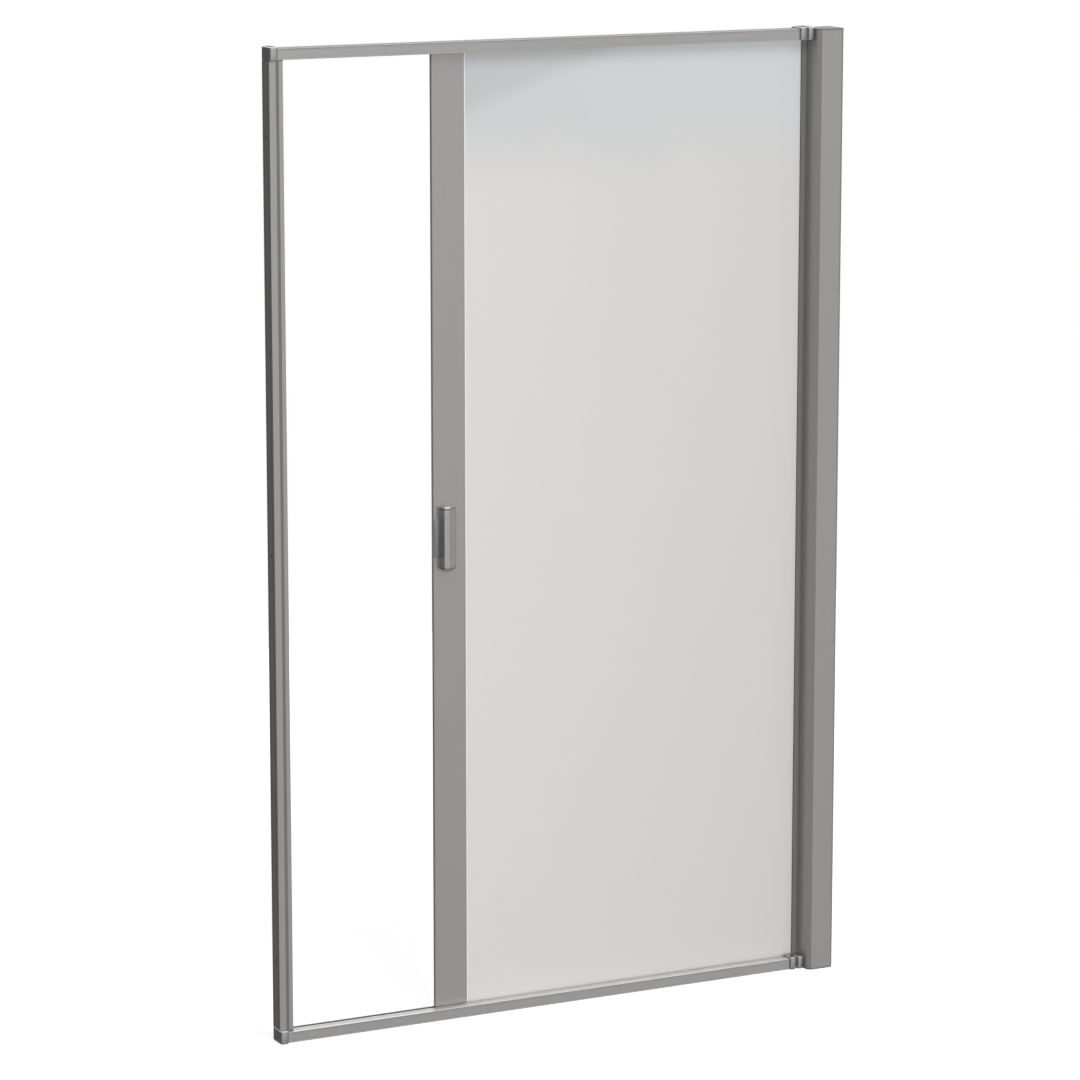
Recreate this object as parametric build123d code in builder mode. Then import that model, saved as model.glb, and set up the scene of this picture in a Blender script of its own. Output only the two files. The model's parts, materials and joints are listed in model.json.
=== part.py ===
"""Retractable shower door: a semi-rigid film that rolls up into a cassette beside the doorway.

The door stands between two walls. A wall jamb with a telescoping strike jamb is at the left,
the roller cassette is at the right, and a track runs between them at the top and the bottom.
A flat pull bar slides along the tracks and draws the film out of the cassette.
X runs along the door, Y from the room into the shower, and Z up. The origin is at floor level,
in the middle of the door's width and depth. All sizes are in millimetres.
"""

import os

from build123d import *

os.makedirs("parts", exist_ok=True)

# Overall size of the door
door_width = 924.0
door_height = 1448.0

# Clearances
seat_gap = 0.1
fit_gap = 0.2
run_gap = 0.4
bearing_gap = 0.05

# Extruded aluminium
wall = 1.4
edge_round = 0.8
reveal_width = 1.2
reveal_depth = 0.6
reveal_inset = 1.6

# Pull bar
bar_width = 52.4
bar_depth = 6.5
bar_wall = 1.2
bar_nose_round = 1.6
door_gap = 236.7
bar_lift = 1.0

# Tracks
track_depth = 25.5
track_height = 16.3
track_floor = 3.0
rear_lip = 1.2
pile_height = 3.0
pile_thickness = 1.1
pile_drop = 1.0
weep_length = 12.0
weep_height = 2.4
weep_count = 4

# Wall jamb and strike jamb
jamb_width = 10.1
jamb_base = 3.0
caulk_groove_width = 5.0
caulk_groove_depth = 1.2
caulk_groove_inset = 3.4
strike_back = 4.0
strike_reach = 22.0
strike_step = 2.0
strike_groove_width = 5.0
strike_groove_depth = 2.5
strike_cheek = 4.6
jamb_hole_radius = 2.4
jamb_hole_spacing = 600.0
jamb_hole_count = 3
fixing_spacing = 1000.0
fixing_count = 2

# Magnet strips
magnet_width = 4.4
magnet_thickness = 3.0

# Corner blocks at the wall jamb and connectors at the cassette
corner_width = 12.5
corner_height = 20.0
corner_front = 4.0
corner_proud = 2.5
corner_round = 3.0
corner_edge = 1.0
spigot_length = 18.0
connector_width = 23.4
connector_groove = 4.0
connector_groove_depth = 5.0
connector_lobe = 9.2
connector_round = 2.0

# Roller cassette
cassette_width = 45.0
cassette_depth = 46.5
cassette_reach = 17.0
cassette_wall = 1.6
cassette_bevel = 5.6
cassette_cap = 2.5
cover_leg = 8.0
port_radius = 2.7
port_hole_radius = 1.3
port_sink = 0.3
port_shift = 7.0
cassette_hole_radius = 2.4
cassette_hole_spacing = 600.0
cassette_hole_count = 3

# Mouth of the cassette
mouth_reach = 9.5
mouth_lip = 2.2
mouth_slot = 1.7
mouth_hook = 3.8
hook_thickness = 1.2
lap_length = 4.0
lap_root = 3.0
wiper_reach = 3.0
wiper_inset = 0.3
wiper_tongue = 1.0
wiper_tongue_width = 1.0
wiper_gap = 0.3

# Film and roller
film_thickness = 0.5
film_inset = 10.0
film_gap = 0.3
wound_radius = 16.0
tube_radius = 12.5
tube_wall = 1.2
tube_inset = 8.0
plug_length = 15.0
plug_flange = 2.0
shaft_radius = 4.0
spring_radius = 8.5
spring_wire = 2.4
spring_length = 300.0
spring_gap = 0.3
collar_length = 14.0
bracket_thickness = 2.0
bracket_size = 34.0
washer_radius = 7.0
bracket_depth = 20.4
bracket_round = 1.2
lug_spacing = 26.0
lug_width = 3.0
lug_length = 8.0
lug_depth = 1.5
tongue_width = 6.0
tongue_thickness = 3.0

# Film clamp in the pull bar
slot_width = 1.3
spline_radius = 1.6
spline_pocket_radius = 1.9
spline_inset = 5.4

# Ends of the pull bar
cap_flange = 1.5
cap_tongue_thickness = 4.4
cap_tongue_depth = 12.3
cap_plug = 14.0

# Handle
handle_height = 96.0
handle_centre = 726.5
grip_depth = 15.5
grip_offset = 10.8
grip_width = 24.0
grip_face = 9.6
grip_shoulder = 4.5
grip_chamfer = 2.5
plate_height = 59.0
plate_width = 30.0
plate_thickness = 1.5
plate_round = 2.5

# Screws
screw_head_radius = 2.6
screw_head_height = 1.6
screw_shank_radius = 1.2
jamb_screw_length = 6.0
cap_screw_length = 10.0
grip_screw_spacing = 42.0
grip_screw_depth = 8.0

# Places along the door
left = -door_width / 2
right = door_width / 2
corner_right = left + corner_width
strike_face = left + strike_reach
cassette_left = right - cassette_width
connector_left = cassette_left - connector_width
mouth_x = cassette_left - mouth_reach
bar_left = strike_face + door_gap
bar_right = bar_left + bar_width
track_left = corner_right + seat_gap
track_right = connector_left - seat_gap
track_length = track_right - track_left

# Places from front to back
cassette_front = -cassette_depth / 2
cassette_back = cassette_depth / 2
track_front = cassette_front + cassette_reach
track_back = track_front + track_depth
channel_width = bar_depth + 2 * run_gap
channel_back = track_back - rear_lip
channel_front = channel_back - channel_width
cell_front = track_front + wall
cell_back = channel_front - wall
bar_front = channel_front + run_gap
bar_back = bar_front + bar_depth
film_y = (bar_front + bar_back) / 2
roller_x = right - cassette_width / 2
roller_y = film_y - film_thickness / 2 - film_gap - wound_radius

# Heights
post_low = corner_height + seat_gap
post_high = door_height + corner_proud - corner_height - seat_gap
post_length = post_high - post_low
bar_low = track_height + bar_lift
bar_length = door_height - 2 * bar_low
shell_low = cassette_cap
shell_length = door_height - 2 * cassette_cap
film_low = film_inset
film_length = door_height - 2 * film_inset
tube_length = door_height - 2 * tube_inset


def span(x_low, x_high, y_low, y_high, mode=Mode.ADD):
    """Draw a rectangle between two corners of the current sketch."""
    with Locations(((x_low + x_high) / 2, (y_low + y_high) / 2)):
        Rectangle(x_high - x_low, y_high - y_low, mode=mode)


def disc(x, y, radius, mode=Mode.ADD):
    """Draw a round of the given radius at a point of the current sketch."""
    with Locations((x, y)):
        Circle(radius, mode=mode)


def end_span(end, low, high):
    """Give the lower height and the length of a stretch measured inwards from one end."""
    if end == "bottom":
        return low, high - low
    return door_height - high, high - low


def spaced(count, spacing, centre):
    """Give the places of a row of holes, spread evenly about its centre."""
    return [centre + (index - (count - 1) / 2) * spacing for index in range(count)]


def save(piece, name):
    """Name a finished piece and write it to its own file."""
    piece.part.label = name
    export_step(piece.part, f"parts/{name}.step")


# Wall jamb: a channel that is screwed to the wall, with two caulk grooves in its wall face
jamb_hole_heights = spaced(jamb_hole_count, jamb_hole_spacing, door_height / 2)
fixing_heights = spaced(fixing_count, fixing_spacing, door_height / 2)
jamb_hole_y = (track_front + track_back) / 2
jamb_screw_x = left + (strike_back + jamb_width) / 2
groove_front = track_front + caulk_groove_inset
groove_back = track_back - caulk_groove_inset
with BuildPart() as wall_jamb:
    with BuildSketch(Plane.XY.offset(post_low)):
        span(left, left + jamb_width, track_front, track_back)
        span(left + jamb_base, left + jamb_width, cell_front, track_back - wall, Mode.SUBTRACT)
        span(left, left + caulk_groove_depth, groove_front, groove_front + caulk_groove_width, Mode.SUBTRACT)
        span(left, left + caulk_groove_depth, groove_back - caulk_groove_width, groove_back, Mode.SUBTRACT)
    extrude(amount=post_length)
    front_edges = wall_jamb.edges().filter_by(Axis.Z).group_by(Axis.Y)[0]
    fillet(front_edges, radius=edge_round / 2)
    with BuildSketch(Plane.YZ.offset(left)):
        for height in jamb_hole_heights:
            disc(jamb_hole_y, height, jamb_hole_radius)
    extrude(amount=jamb_base, mode=Mode.SUBTRACT)
    with BuildSketch(Plane.XZ.offset(-track_back)):
        for height in fixing_heights:
            disc(jamb_screw_x, height, screw_shank_radius + seat_gap)
    extrude(amount=wall, mode=Mode.SUBTRACT)
save(wall_jamb, "wall_jamb")

# Strike jamb: slides in the wall jamb to take up an uneven wall, and holds the magnet strip
strike_front = track_front + strike_step
strike_rear = track_back - strike_step
strike_left = left + strike_back
strike_cell_right = strike_face - strike_cheek
strike_groove_left = left + jamb_width + run_gap
strike_groove_right = strike_groove_left + strike_groove_width
groove_floor = strike_front + strike_groove_depth
cheek_cell_left = strike_cell_right + wall
cheek_cell_right = strike_face - wall
pocket_low = film_y - magnet_width / 2 - seat_gap
pocket_high = film_y + magnet_width / 2 + seat_gap
pocket_floor = strike_face - magnet_thickness - seat_gap
with BuildPart() as strike_jamb:
    with BuildSketch(Plane.XY.offset(post_low)):
        span(strike_left, strike_face, strike_front, strike_rear)
        span(strike_groove_left, strike_groove_right, strike_front, groove_floor, Mode.SUBTRACT)
        span(strike_left + wall, strike_cell_right, groove_floor + wall, strike_rear - wall, Mode.SUBTRACT)
        span(cheek_cell_left, cheek_cell_right, strike_front + wall, pocket_low - wall, Mode.SUBTRACT)
        span(pocket_floor, strike_face, pocket_low, pocket_high, Mode.SUBTRACT)
    extrude(amount=post_length)
    with BuildSketch(Plane.XZ.offset(-strike_rear)):
        for height in fixing_heights:
            disc(jamb_screw_x, height, screw_shank_radius + seat_gap)
    extrude(amount=wall, mode=Mode.SUBTRACT)
save(strike_jamb, "strike_jamb")

# Magnet strip in the strike jamb
with BuildPart() as strike_magnet:
    with BuildSketch(Plane.XY.offset(post_low)):
        magnet_left = strike_face - magnet_thickness
        span(magnet_left, strike_face, film_y - magnet_width / 2, film_y + magnet_width / 2)
    extrude(amount=post_length)
save(strike_magnet, "strike_magnet")

# Screws that fix the strike jamb in the wall jamb, through the wall jamb's rear wall
with BuildPart() as jamb_screws:
    with BuildSketch(Plane.XZ.offset(-track_back)):
        for height in fixing_heights:
            disc(jamb_screw_x, height, screw_head_radius)
    extrude(amount=-screw_head_height)
    with BuildSketch(Plane.XZ.offset(-track_back)):
        for height in fixing_heights:
            disc(jamb_screw_x, height, screw_shank_radius)
    extrude(amount=jamb_screw_length)
save(jamb_screws, "jamb_screws")

# Screw ports on the rear wall of the cassette's base
rear_port = cassette_wall + port_radius - port_sink
base_ports = [
    (cassette_left + port_shift, cassette_back - rear_port),
    (right - rear_port, cassette_back - rear_port),
]

# Places of the lugs that locate the roller brackets in the end caps
lug_places = [roller_x - lug_spacing / 2, roller_x + lug_spacing / 2]

# The corner blocks, strike feet, connectors, tracks and pile strips come in a top and a bottom form
for end in ("bottom", "top"):
    proud = corner_proud if end == "top" else 0
    block_low, block_height = end_span(end, -proud, corner_height - proud)
    spigot_low, spigot_height = end_span(end, wall + fit_gap, track_height - wall - fit_gap)

    # Corner block that joins the wall jamb to a track
    with BuildPart() as corner_block:
        with BuildSketch(Plane.XY.offset(block_low)):
            span(left, corner_right, track_front - corner_front, track_back)
        extrude(amount=block_height)
        fillet(corner_block.edges().filter_by(Axis.Z).group_by(Axis.Y)[0], radius=corner_round)
        rims = corner_block.faces().filter_by(Axis.Z).edges()
        front_rims = rims.filter_by(lambda edge: edge.center().Y < track_back - corner_round)
        chamfer(front_rims, length=corner_edge)
        with BuildSketch(Plane.YZ.offset(corner_right)):
            span(cell_front + fit_gap, cell_back - fit_gap, spigot_low, spigot_low + spigot_height)
        extrude(amount=spigot_length)
    save(corner_block, f"{end}_left_corner")

    # Plastic foot that closes the strike jamb down to the track
    foot_low, foot_height = end_span(end, track_height + seat_gap, corner_height - proud)
    plug_low, plug_height = end_span(end, track_height + seat_gap, corner_height - proud + cap_plug)
    with BuildPart() as strike_foot:
        with BuildSketch(Plane.XY.offset(foot_low)):
            span(corner_right + seat_gap, strike_face, strike_front, strike_rear)
        extrude(amount=foot_height)
        with BuildSketch(Plane.XY.offset(plug_low)):
            plug_front = groove_floor + wall + fit_gap
            plug_back = strike_rear - wall - fit_gap
            span(corner_right + seat_gap, strike_cell_right - fit_gap, plug_front, plug_back)
        extrude(amount=plug_height)
    save(strike_foot, f"strike_{end}_foot")

    # Connector that joins a track to the cassette, with two rounded lobes and the bar's channel
    channel_low, channel_height = end_span(end, track_floor, corner_height + corner_proud)
    lobe_right = connector_left + connector_lobe
    groove_rear = track_front - corner_front + connector_groove_depth
    with BuildPart() as connector:
        with BuildSketch(Plane.XY.offset(block_low)):
            span(connector_left, cassette_left, track_front - corner_front, track_back)
        extrude(amount=block_height)
        with BuildSketch(Plane.XY.offset(block_low)):
            span(lobe_right, lobe_right + connector_groove, track_front - corner_front, groove_rear)
        extrude(amount=block_height, mode=Mode.SUBTRACT)
        fillet(connector.edges().filter_by(Axis.Z).group_by(Axis.Y)[0], radius=connector_round)
        rims = connector.faces().filter_by(Axis.Z).edges()
        lobe_rims = rims.filter_by(lambda edge: edge.center().Y < groove_rear - connector_round)
        chamfer(lobe_rims, length=corner_edge)
        with BuildSketch(Plane.XY.offset(channel_low)):
            span(connector_left, cassette_left, channel_front, channel_back)
        extrude(amount=channel_height, mode=Mode.SUBTRACT)
        with BuildSketch(Plane.YZ.offset(connector_left)):
            span(cell_front + fit_gap, cell_back - fit_gap, spigot_low, spigot_low + spigot_height)
        extrude(amount=-spigot_length)
    save(connector, f"{end}_right_connector")

    # Track: a hollow front ledge and an open channel behind it for the bar and the film's edge
    track_low, track_rise = end_span(end, 0, track_height)
    cell_low, cell_height = end_span(end, wall, track_height - wall)
    slot_low, slot_height = end_span(end, track_floor, track_height)
    reveals = [track_low + reveal_inset, track_low + track_rise - reveal_inset - reveal_width]
    with BuildPart() as track:
        with BuildSketch(Plane.YZ.offset(track_left)) as section:
            span(track_front, track_back, track_low, track_low + track_rise)
            fillet(section.vertices().group_by(Axis.Y)[0].group_by(Axis.X)[0], radius=edge_round)
            fillet(section.vertices().group_by(Axis.Y)[-1].group_by(Axis.X)[0], radius=edge_round)
            span(cell_front, cell_back, cell_low, cell_low + cell_height, Mode.SUBTRACT)
            span(channel_front, channel_back, slot_low, slot_low + slot_height, Mode.SUBTRACT)
            for reveal in reveals:
                span(track_front, track_front + reveal_depth, reveal, reveal + reveal_width, Mode.SUBTRACT)
        extrude(amount=track_length)
        if end == "bottom":
            with BuildSketch(Plane.XZ.offset(-track_back)):
                for middle in spaced(weep_count, track_length / weep_count, (track_left + track_right) / 2):
                    with Locations((middle, track_floor + weep_height / 2)):
                        Rectangle(weep_length, weep_height)
            extrude(amount=rear_lip, mode=Mode.SUBTRACT)
    save(track, f"{end}_track")

    # Pile strips on both walls of the channel
    pile_low, pile_rise = end_span(end, track_height - pile_drop - pile_height, track_height - pile_drop)
    with BuildPart() as pile:
        with BuildSketch(Plane.YZ.offset(track_left)):
            span(channel_front, channel_front + pile_thickness, pile_low, pile_low + pile_rise)
            span(channel_back - pile_thickness, channel_back, pile_low, pile_low + pile_rise)
        extrude(amount=track_length)
    save(pile, f"{end}_track_pile")

    # Cassette end cap with its screw holes
    cap_low, cap_height = end_span(end, 0, cassette_cap)
    pocket_start, pocket_rise = end_span(end, cassette_cap - lug_depth - seat_gap, cassette_cap)
    with BuildPart() as end_cap:
        with BuildSketch(Plane.XY.offset(cap_low)) as outline:
            span(cassette_left, right, cassette_front, cassette_back)
            chamfer(outline.vertices().group_by(Axis.Y)[0], length=cassette_bevel)
            for x, y in base_ports:
                disc(x, y, screw_shank_radius + seat_gap, Mode.SUBTRACT)
        extrude(amount=cap_height)
        with BuildSketch(Plane.XY.offset(pocket_start)):
            for x in lug_places:
                with Locations((x, roller_y)):
                    Rectangle(lug_width + fit_gap, lug_length + fit_gap)
        extrude(amount=pocket_rise, mode=Mode.SUBTRACT)
    save(end_cap, f"cassette_{end}_cap")

# Ring of the cassette's outline, shared by the front cover and the rear base
cover_end = film_y - mouth_slot / 2 - mouth_lip - seat_gap
base_start = film_y + mouth_slot / 2 + mouth_lip + seat_gap
split_y = cassette_front + cassette_bevel + cover_leg
shell_inner_right = right - cassette_wall
with BuildSketch() as cassette_ring:
    span(cassette_left, right, cassette_front, cassette_back)
    chamfer(cassette_ring.vertices().group_by(Axis.Y)[0], length=cassette_bevel)
    offset(amount=-cassette_wall, kind=Kind.INTERSECTION, mode=Mode.SUBTRACT)

# Front cover: bevelled front, the side beside the film, and a short leg that snaps into the base
with BuildPart() as cassette_cover:
    with BuildSketch(Plane.XY.offset(shell_low)):
        add(cassette_ring.sketch)
        span(cassette_left, roller_x, cover_end, cassette_back, Mode.SUBTRACT)
        span(roller_x, right, split_y, cassette_back, Mode.SUBTRACT)
        lap_left = shell_inner_right - hook_thickness
        span(lap_left, shell_inner_right, split_y - lap_root, split_y)
        span(lap_left, shell_inner_right - fit_gap, split_y - lap_root, split_y + lap_length)
    extrude(amount=shell_length)
save(cassette_cover, "cassette_cover")

# Rear base: wall side with the fixing holes, rear wall and a short return behind the film
cassette_hole_heights = spaced(cassette_hole_count, cassette_hole_spacing, door_height / 2)
cassette_hole_y = (roller_y + cassette_back) / 2
with BuildPart() as cassette_base:
    with BuildSketch(Plane.XY.offset(shell_low)):
        add(cassette_ring.sketch)
        span(cassette_left, roller_x, cassette_front, base_start, Mode.SUBTRACT)
        span(roller_x, right, cassette_front, split_y + seat_gap, Mode.SUBTRACT)
        for x, y in base_ports:
            disc(x, y, port_radius)
        for x, y in base_ports:
            disc(x, y, port_hole_radius, Mode.SUBTRACT)
    extrude(amount=shell_length)
    with BuildSketch(Plane.YZ.offset(right)):
        for height in cassette_hole_heights:
            disc(cassette_hole_y, height, cassette_hole_radius)
    extrude(amount=-cassette_wall, mode=Mode.SUBTRACT)
save(cassette_base, "cassette_base")

# Screws that hold the end caps on the cassette
with BuildPart() as end_cap_screws:
    for face, away in ((0, -1), (door_height, 1)):
        with BuildSketch(Plane.XY.offset(face)):
            for x, y in base_ports:
                disc(x, y, screw_shank_radius)
        extrude(amount=-away * cap_screw_length)
save(end_cap_screws, "end_cap_screws")

# Mouth: a lip in front of the film and one behind it, each hooked on the cassette's side wall
lip_left = mouth_x + wiper_reach
hook_left = cassette_left + cassette_wall + fit_gap
hook_right = hook_left + hook_thickness
for side, facing in (("front", -1), ("rear", 1)):
    inner = film_y + facing * mouth_slot / 2
    outer = inner + facing * mouth_lip
    hook = outer + facing * mouth_hook
    film_face = film_y + facing * (film_thickness / 2 + wiper_gap)
    wiper_back = outer - facing * wiper_inset
    wiper_middle = (inner + outer) / 2
    with BuildPart() as mouth_lip_profile:
        with BuildSketch(Plane.XY.offset(post_low)):
            span(lip_left, hook_right, min(inner, outer), max(inner, outer))
            span(hook_left, hook_right, min(outer, hook), max(outer, hook))
            groove_half = wiper_tongue_width / 2 + seat_gap
            groove_end = lip_left + wiper_tongue + seat_gap
            span(lip_left, groove_end, wiper_middle - groove_half, wiper_middle + groove_half, Mode.SUBTRACT)
        extrude(amount=post_length)
    save(mouth_lip_profile, f"mouth_lip_{side}")
    with BuildPart() as wiper:
        with BuildSketch(Plane.XY.offset(post_low)):
            span(mouth_x, lip_left, min(film_face, wiper_back), max(film_face, wiper_back))
            tongue_low = wiper_middle - wiper_tongue_width / 2
            span(lip_left, lip_left + wiper_tongue, tongue_low, tongue_low + wiper_tongue_width)
        extrude(amount=post_length)
    save(wiper, f"mouth_wiper_{side}")

# Brackets that carry the roller, with lugs that sit in pockets of the end caps
arbor_top = door_height - cassette_cap - fit_gap
for end in ("bottom", "top"):
    plate_low, plate_rise = end_span(end, cassette_cap, cassette_cap + bracket_thickness)
    lug_low, lug_rise = end_span(end, cassette_cap - lug_depth, cassette_cap)
    with BuildPart() as bracket:
        with BuildSketch(Plane.XY.offset(plate_low)) as outline:
            with Locations((roller_x, roller_y)):
                RectangleRounded(bracket_size, bracket_depth, radius=bracket_round)
            with Locations((roller_x, roller_y)):
                Rectangle(tongue_width + fit_gap, tongue_thickness + fit_gap, mode=Mode.SUBTRACT)
        extrude(amount=plate_rise)
        with BuildSketch(Plane.XY.offset(lug_low)):
            for x in lug_places:
                with Locations((x, roller_y)):
                    Rectangle(lug_width, lug_length)
        extrude(amount=lug_rise)
    save(bracket, f"roller_bracket_{end}")

# Pivot pin under the roller: keyed in the bottom bracket, with a thrust collar
pin_base = cassette_cap + bracket_thickness
collar_top = tube_inset - plug_flange - spring_gap
with BuildPart() as pivot_pin:
    with BuildSketch(Plane.XY.offset(cassette_cap + seat_gap)):
        with Locations((roller_x, roller_y)):
            Rectangle(tongue_width, tongue_thickness)
    extrude(amount=pin_base - cassette_cap - seat_gap)
    with BuildSketch(Plane.XY.offset(pin_base)):
        disc(roller_x, roller_y, washer_radius)
    extrude(amount=collar_top - pin_base)
    with BuildSketch(Plane.XY.offset(collar_top)):
        disc(roller_x, roller_y, shaft_radius)
    extrude(amount=plug_length)
save(pivot_pin, "pivot_pin")

# Spring arbor: the fixed shaft inside the top of the roller, keyed in the top bracket
tube_low = tube_inset
tube_high = door_height - tube_inset
spring_high = tube_high - plug_length - spring_gap
spring_low = spring_high - spring_length
arbor_low = spring_low - spring_gap - plug_length
arbor_shoulder = door_height - cassette_cap - bracket_thickness - fit_gap
spring_inner = spring_radius - spring_wire
with BuildPart() as spring_arbor:
    with BuildSketch(Plane.XY.offset(arbor_low)):
        disc(roller_x, roller_y, shaft_radius)
    extrude(amount=arbor_shoulder - arbor_low)
    with BuildSketch(Plane.XY.offset(spring_high - collar_length)):
        disc(roller_x, roller_y, spring_inner - seat_gap)
    extrude(amount=collar_length)
    with BuildSketch(Plane.XY.offset(arbor_shoulder)):
        with Locations((roller_x, roller_y)):
            Rectangle(tongue_width, tongue_thickness)
    extrude(amount=arbor_top - arbor_shoulder)
save(spring_arbor, "spring_arbor")

# Torsion spring that winds up as the film is drawn out, as the closed sleeve of its tight coils
with BuildPart() as torsion_spring:
    with BuildSketch(Plane.XY.offset(spring_low)):
        disc(roller_x, roller_y, spring_radius)
        disc(roller_x, roller_y, spring_inner, Mode.SUBTRACT)
    extrude(amount=spring_length)
save(torsion_spring, "torsion_spring")

# Roller tube with a plug at each end and the spring anchor inside
tube_inner = tube_radius - tube_wall
with BuildPart() as roller_tube:
    with BuildSketch(Plane.XY.offset(tube_low)):
        disc(roller_x, roller_y, tube_radius)
        disc(roller_x, roller_y, tube_inner, Mode.SUBTRACT)
    extrude(amount=tube_length)
save(roller_tube, "roller_tube")
for end in ("bottom", "top"):
    plug_face, plug_rise = end_span(end, tube_inset, tube_inset + plug_length)
    flange_low, flange_rise = end_span(end, tube_inset - plug_flange, tube_inset)
    with BuildPart() as roller_plug:
        with BuildSketch(Plane.XY.offset(plug_face)):
            disc(roller_x, roller_y, tube_inner - bearing_gap)
        extrude(amount=plug_rise)
        with BuildSketch(Plane.XY.offset(flange_low)):
            disc(roller_x, roller_y, tube_radius)
        extrude(amount=flange_rise)
        with BuildSketch(Plane.XY.offset(min(plug_face, flange_low))):
            disc(roller_x, roller_y, shaft_radius + bearing_gap)
        extrude(amount=plug_rise + flange_rise, mode=Mode.SUBTRACT)
    save(roller_plug, f"roller_{end}_plug")
with BuildPart() as spring_anchor:
    with BuildSketch(Plane.XY.offset(arbor_low)):
        disc(roller_x, roller_y, tube_inner - bearing_gap)
        disc(roller_x, roller_y, shaft_radius + bearing_gap, Mode.SUBTRACT)
    extrude(amount=plug_length)
save(spring_anchor, "spring_anchor")

# Film wound on the roller, and the film drawn out to the pull bar
with BuildPart() as wound_film:
    with BuildSketch(Plane.XY.offset(film_low)):
        disc(roller_x, roller_y, wound_radius)
        disc(roller_x, roller_y, tube_radius + bearing_gap, Mode.SUBTRACT)
    extrude(amount=film_length)
save(wound_film, "wound_film")
spline_x = bar_right - spline_inset
film_start = spline_x + spline_radius + seat_gap
with BuildPart() as film_sheet:
    with BuildSketch(Plane.XY.offset(film_low)):
        span(film_start, roller_x, film_y - film_thickness / 2, film_y + film_thickness / 2)
    extrude(amount=film_length)
save(film_sheet, "film_sheet")

# Pull bar: a flat hollow profile with a magnet pocket in its nose and a film slot in its rear edge
bar_cell_left = bar_left + magnet_thickness + seat_gap + bar_wall
bar_cell_right = spline_x - spline_pocket_radius - bar_wall
bar_middle = (bar_cell_left + bar_cell_right) / 2
grip_left = bar_left + grip_offset
grip_screw_x = grip_left + grip_face
grip_screw_heights = [handle_centre - grip_screw_spacing / 2, handle_centre + grip_screw_spacing / 2]
bar_cells = [
    (bar_cell_left, bar_middle - bar_wall / 2),
    (bar_middle + bar_wall / 2, bar_cell_right),
]
with BuildPart() as pull_bar:
    with BuildSketch(Plane.XY.offset(bar_low)) as bar_outline:
        span(bar_left, bar_right, bar_front, bar_back)
        fillet(bar_outline.vertices().group_by(Axis.X)[0], radius=bar_nose_round)
        fillet(bar_outline.vertices().group_by(Axis.X)[-1], radius=edge_round)
        span(bar_left, bar_left + magnet_thickness + seat_gap, pocket_low, pocket_high, Mode.SUBTRACT)
        for cell_left, cell_right in bar_cells:
            span(cell_left, cell_right, bar_front + bar_wall, bar_back - bar_wall, Mode.SUBTRACT)
        disc(spline_x, film_y, spline_pocket_radius, Mode.SUBTRACT)
        span(spline_x, bar_right, film_y - slot_width / 2, film_y + slot_width / 2, Mode.SUBTRACT)
    extrude(amount=bar_length)
    with BuildSketch(Plane.XZ.offset(-bar_front)):
        for height in grip_screw_heights:
            disc(grip_screw_x, height, screw_shank_radius + seat_gap)
    extrude(amount=-bar_depth, mode=Mode.SUBTRACT)
save(pull_bar, "pull_bar")

# Magnet strip in the bar's nose, and the spline that locks the film in the bar
with BuildPart() as bar_magnet:
    with BuildSketch(Plane.XY.offset(bar_low)):
        span(bar_left, bar_left + magnet_thickness, film_y - magnet_width / 2, film_y + magnet_width / 2)
    extrude(amount=bar_length)
save(bar_magnet, "bar_magnet")
with BuildPart() as film_spline:
    with BuildSketch(Plane.XY.offset(bar_low)):
        disc(spline_x, film_y, spline_radius)
    extrude(amount=bar_length)
save(film_spline, "film_spline")

# Nylon caps in the ends of the pull bar, whose tongues glide in the tracks
for end in ("bottom", "top"):
    flange_low, flange_rise = end_span(end, bar_low - cap_flange, bar_low)
    tongue_start, tongue_rise = end_span(end, bar_low - cap_tongue_depth, bar_low - cap_flange)
    insert_low, insert_rise = end_span(end, bar_low, bar_low + cap_plug)
    with BuildPart() as bar_cap:
        with BuildSketch(Plane.XY.offset(flange_low)):
            span(bar_left + bar_nose_round, bar_cell_right + bar_wall, bar_front, bar_back)
        extrude(amount=flange_rise)
        with BuildSketch(Plane.XY.offset(tongue_start)):
            tongue_middle = (bar_left + bar_nose_round + bar_cell_right) / 2
            with Locations((tongue_middle, film_y)):
                SlotOverall(bar_cell_right - bar_left - bar_nose_round, cap_tongue_thickness)
        extrude(amount=tongue_rise)
        with BuildSketch(Plane.XY.offset(insert_low)):
            for cell_left, cell_right in bar_cells:
                insert_front = bar_front + bar_wall + seat_gap
                insert_back = bar_back - bar_wall - seat_gap
                span(cell_left + seat_gap, cell_right - seat_gap, insert_front, insert_back)
        extrude(amount=insert_rise)
    save(bar_cap, f"bar_{end}_cap")

# Handle plate on the leading edge of the bar, clamped under the grip
plate_left = bar_left + bar_nose_round
with BuildPart() as handle_plate:
    with BuildSketch(Plane.XZ.offset(-bar_front)):
        with Locations((plate_left + plate_width / 2, handle_centre)):
            RectangleRounded(plate_width, plate_height, radius=plate_round)
        for height in grip_screw_heights:
            disc(grip_screw_x, height, screw_shank_radius + seat_gap, Mode.SUBTRACT)
    extrude(amount=plate_thickness)
save(handle_plate, "handle_plate")

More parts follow.
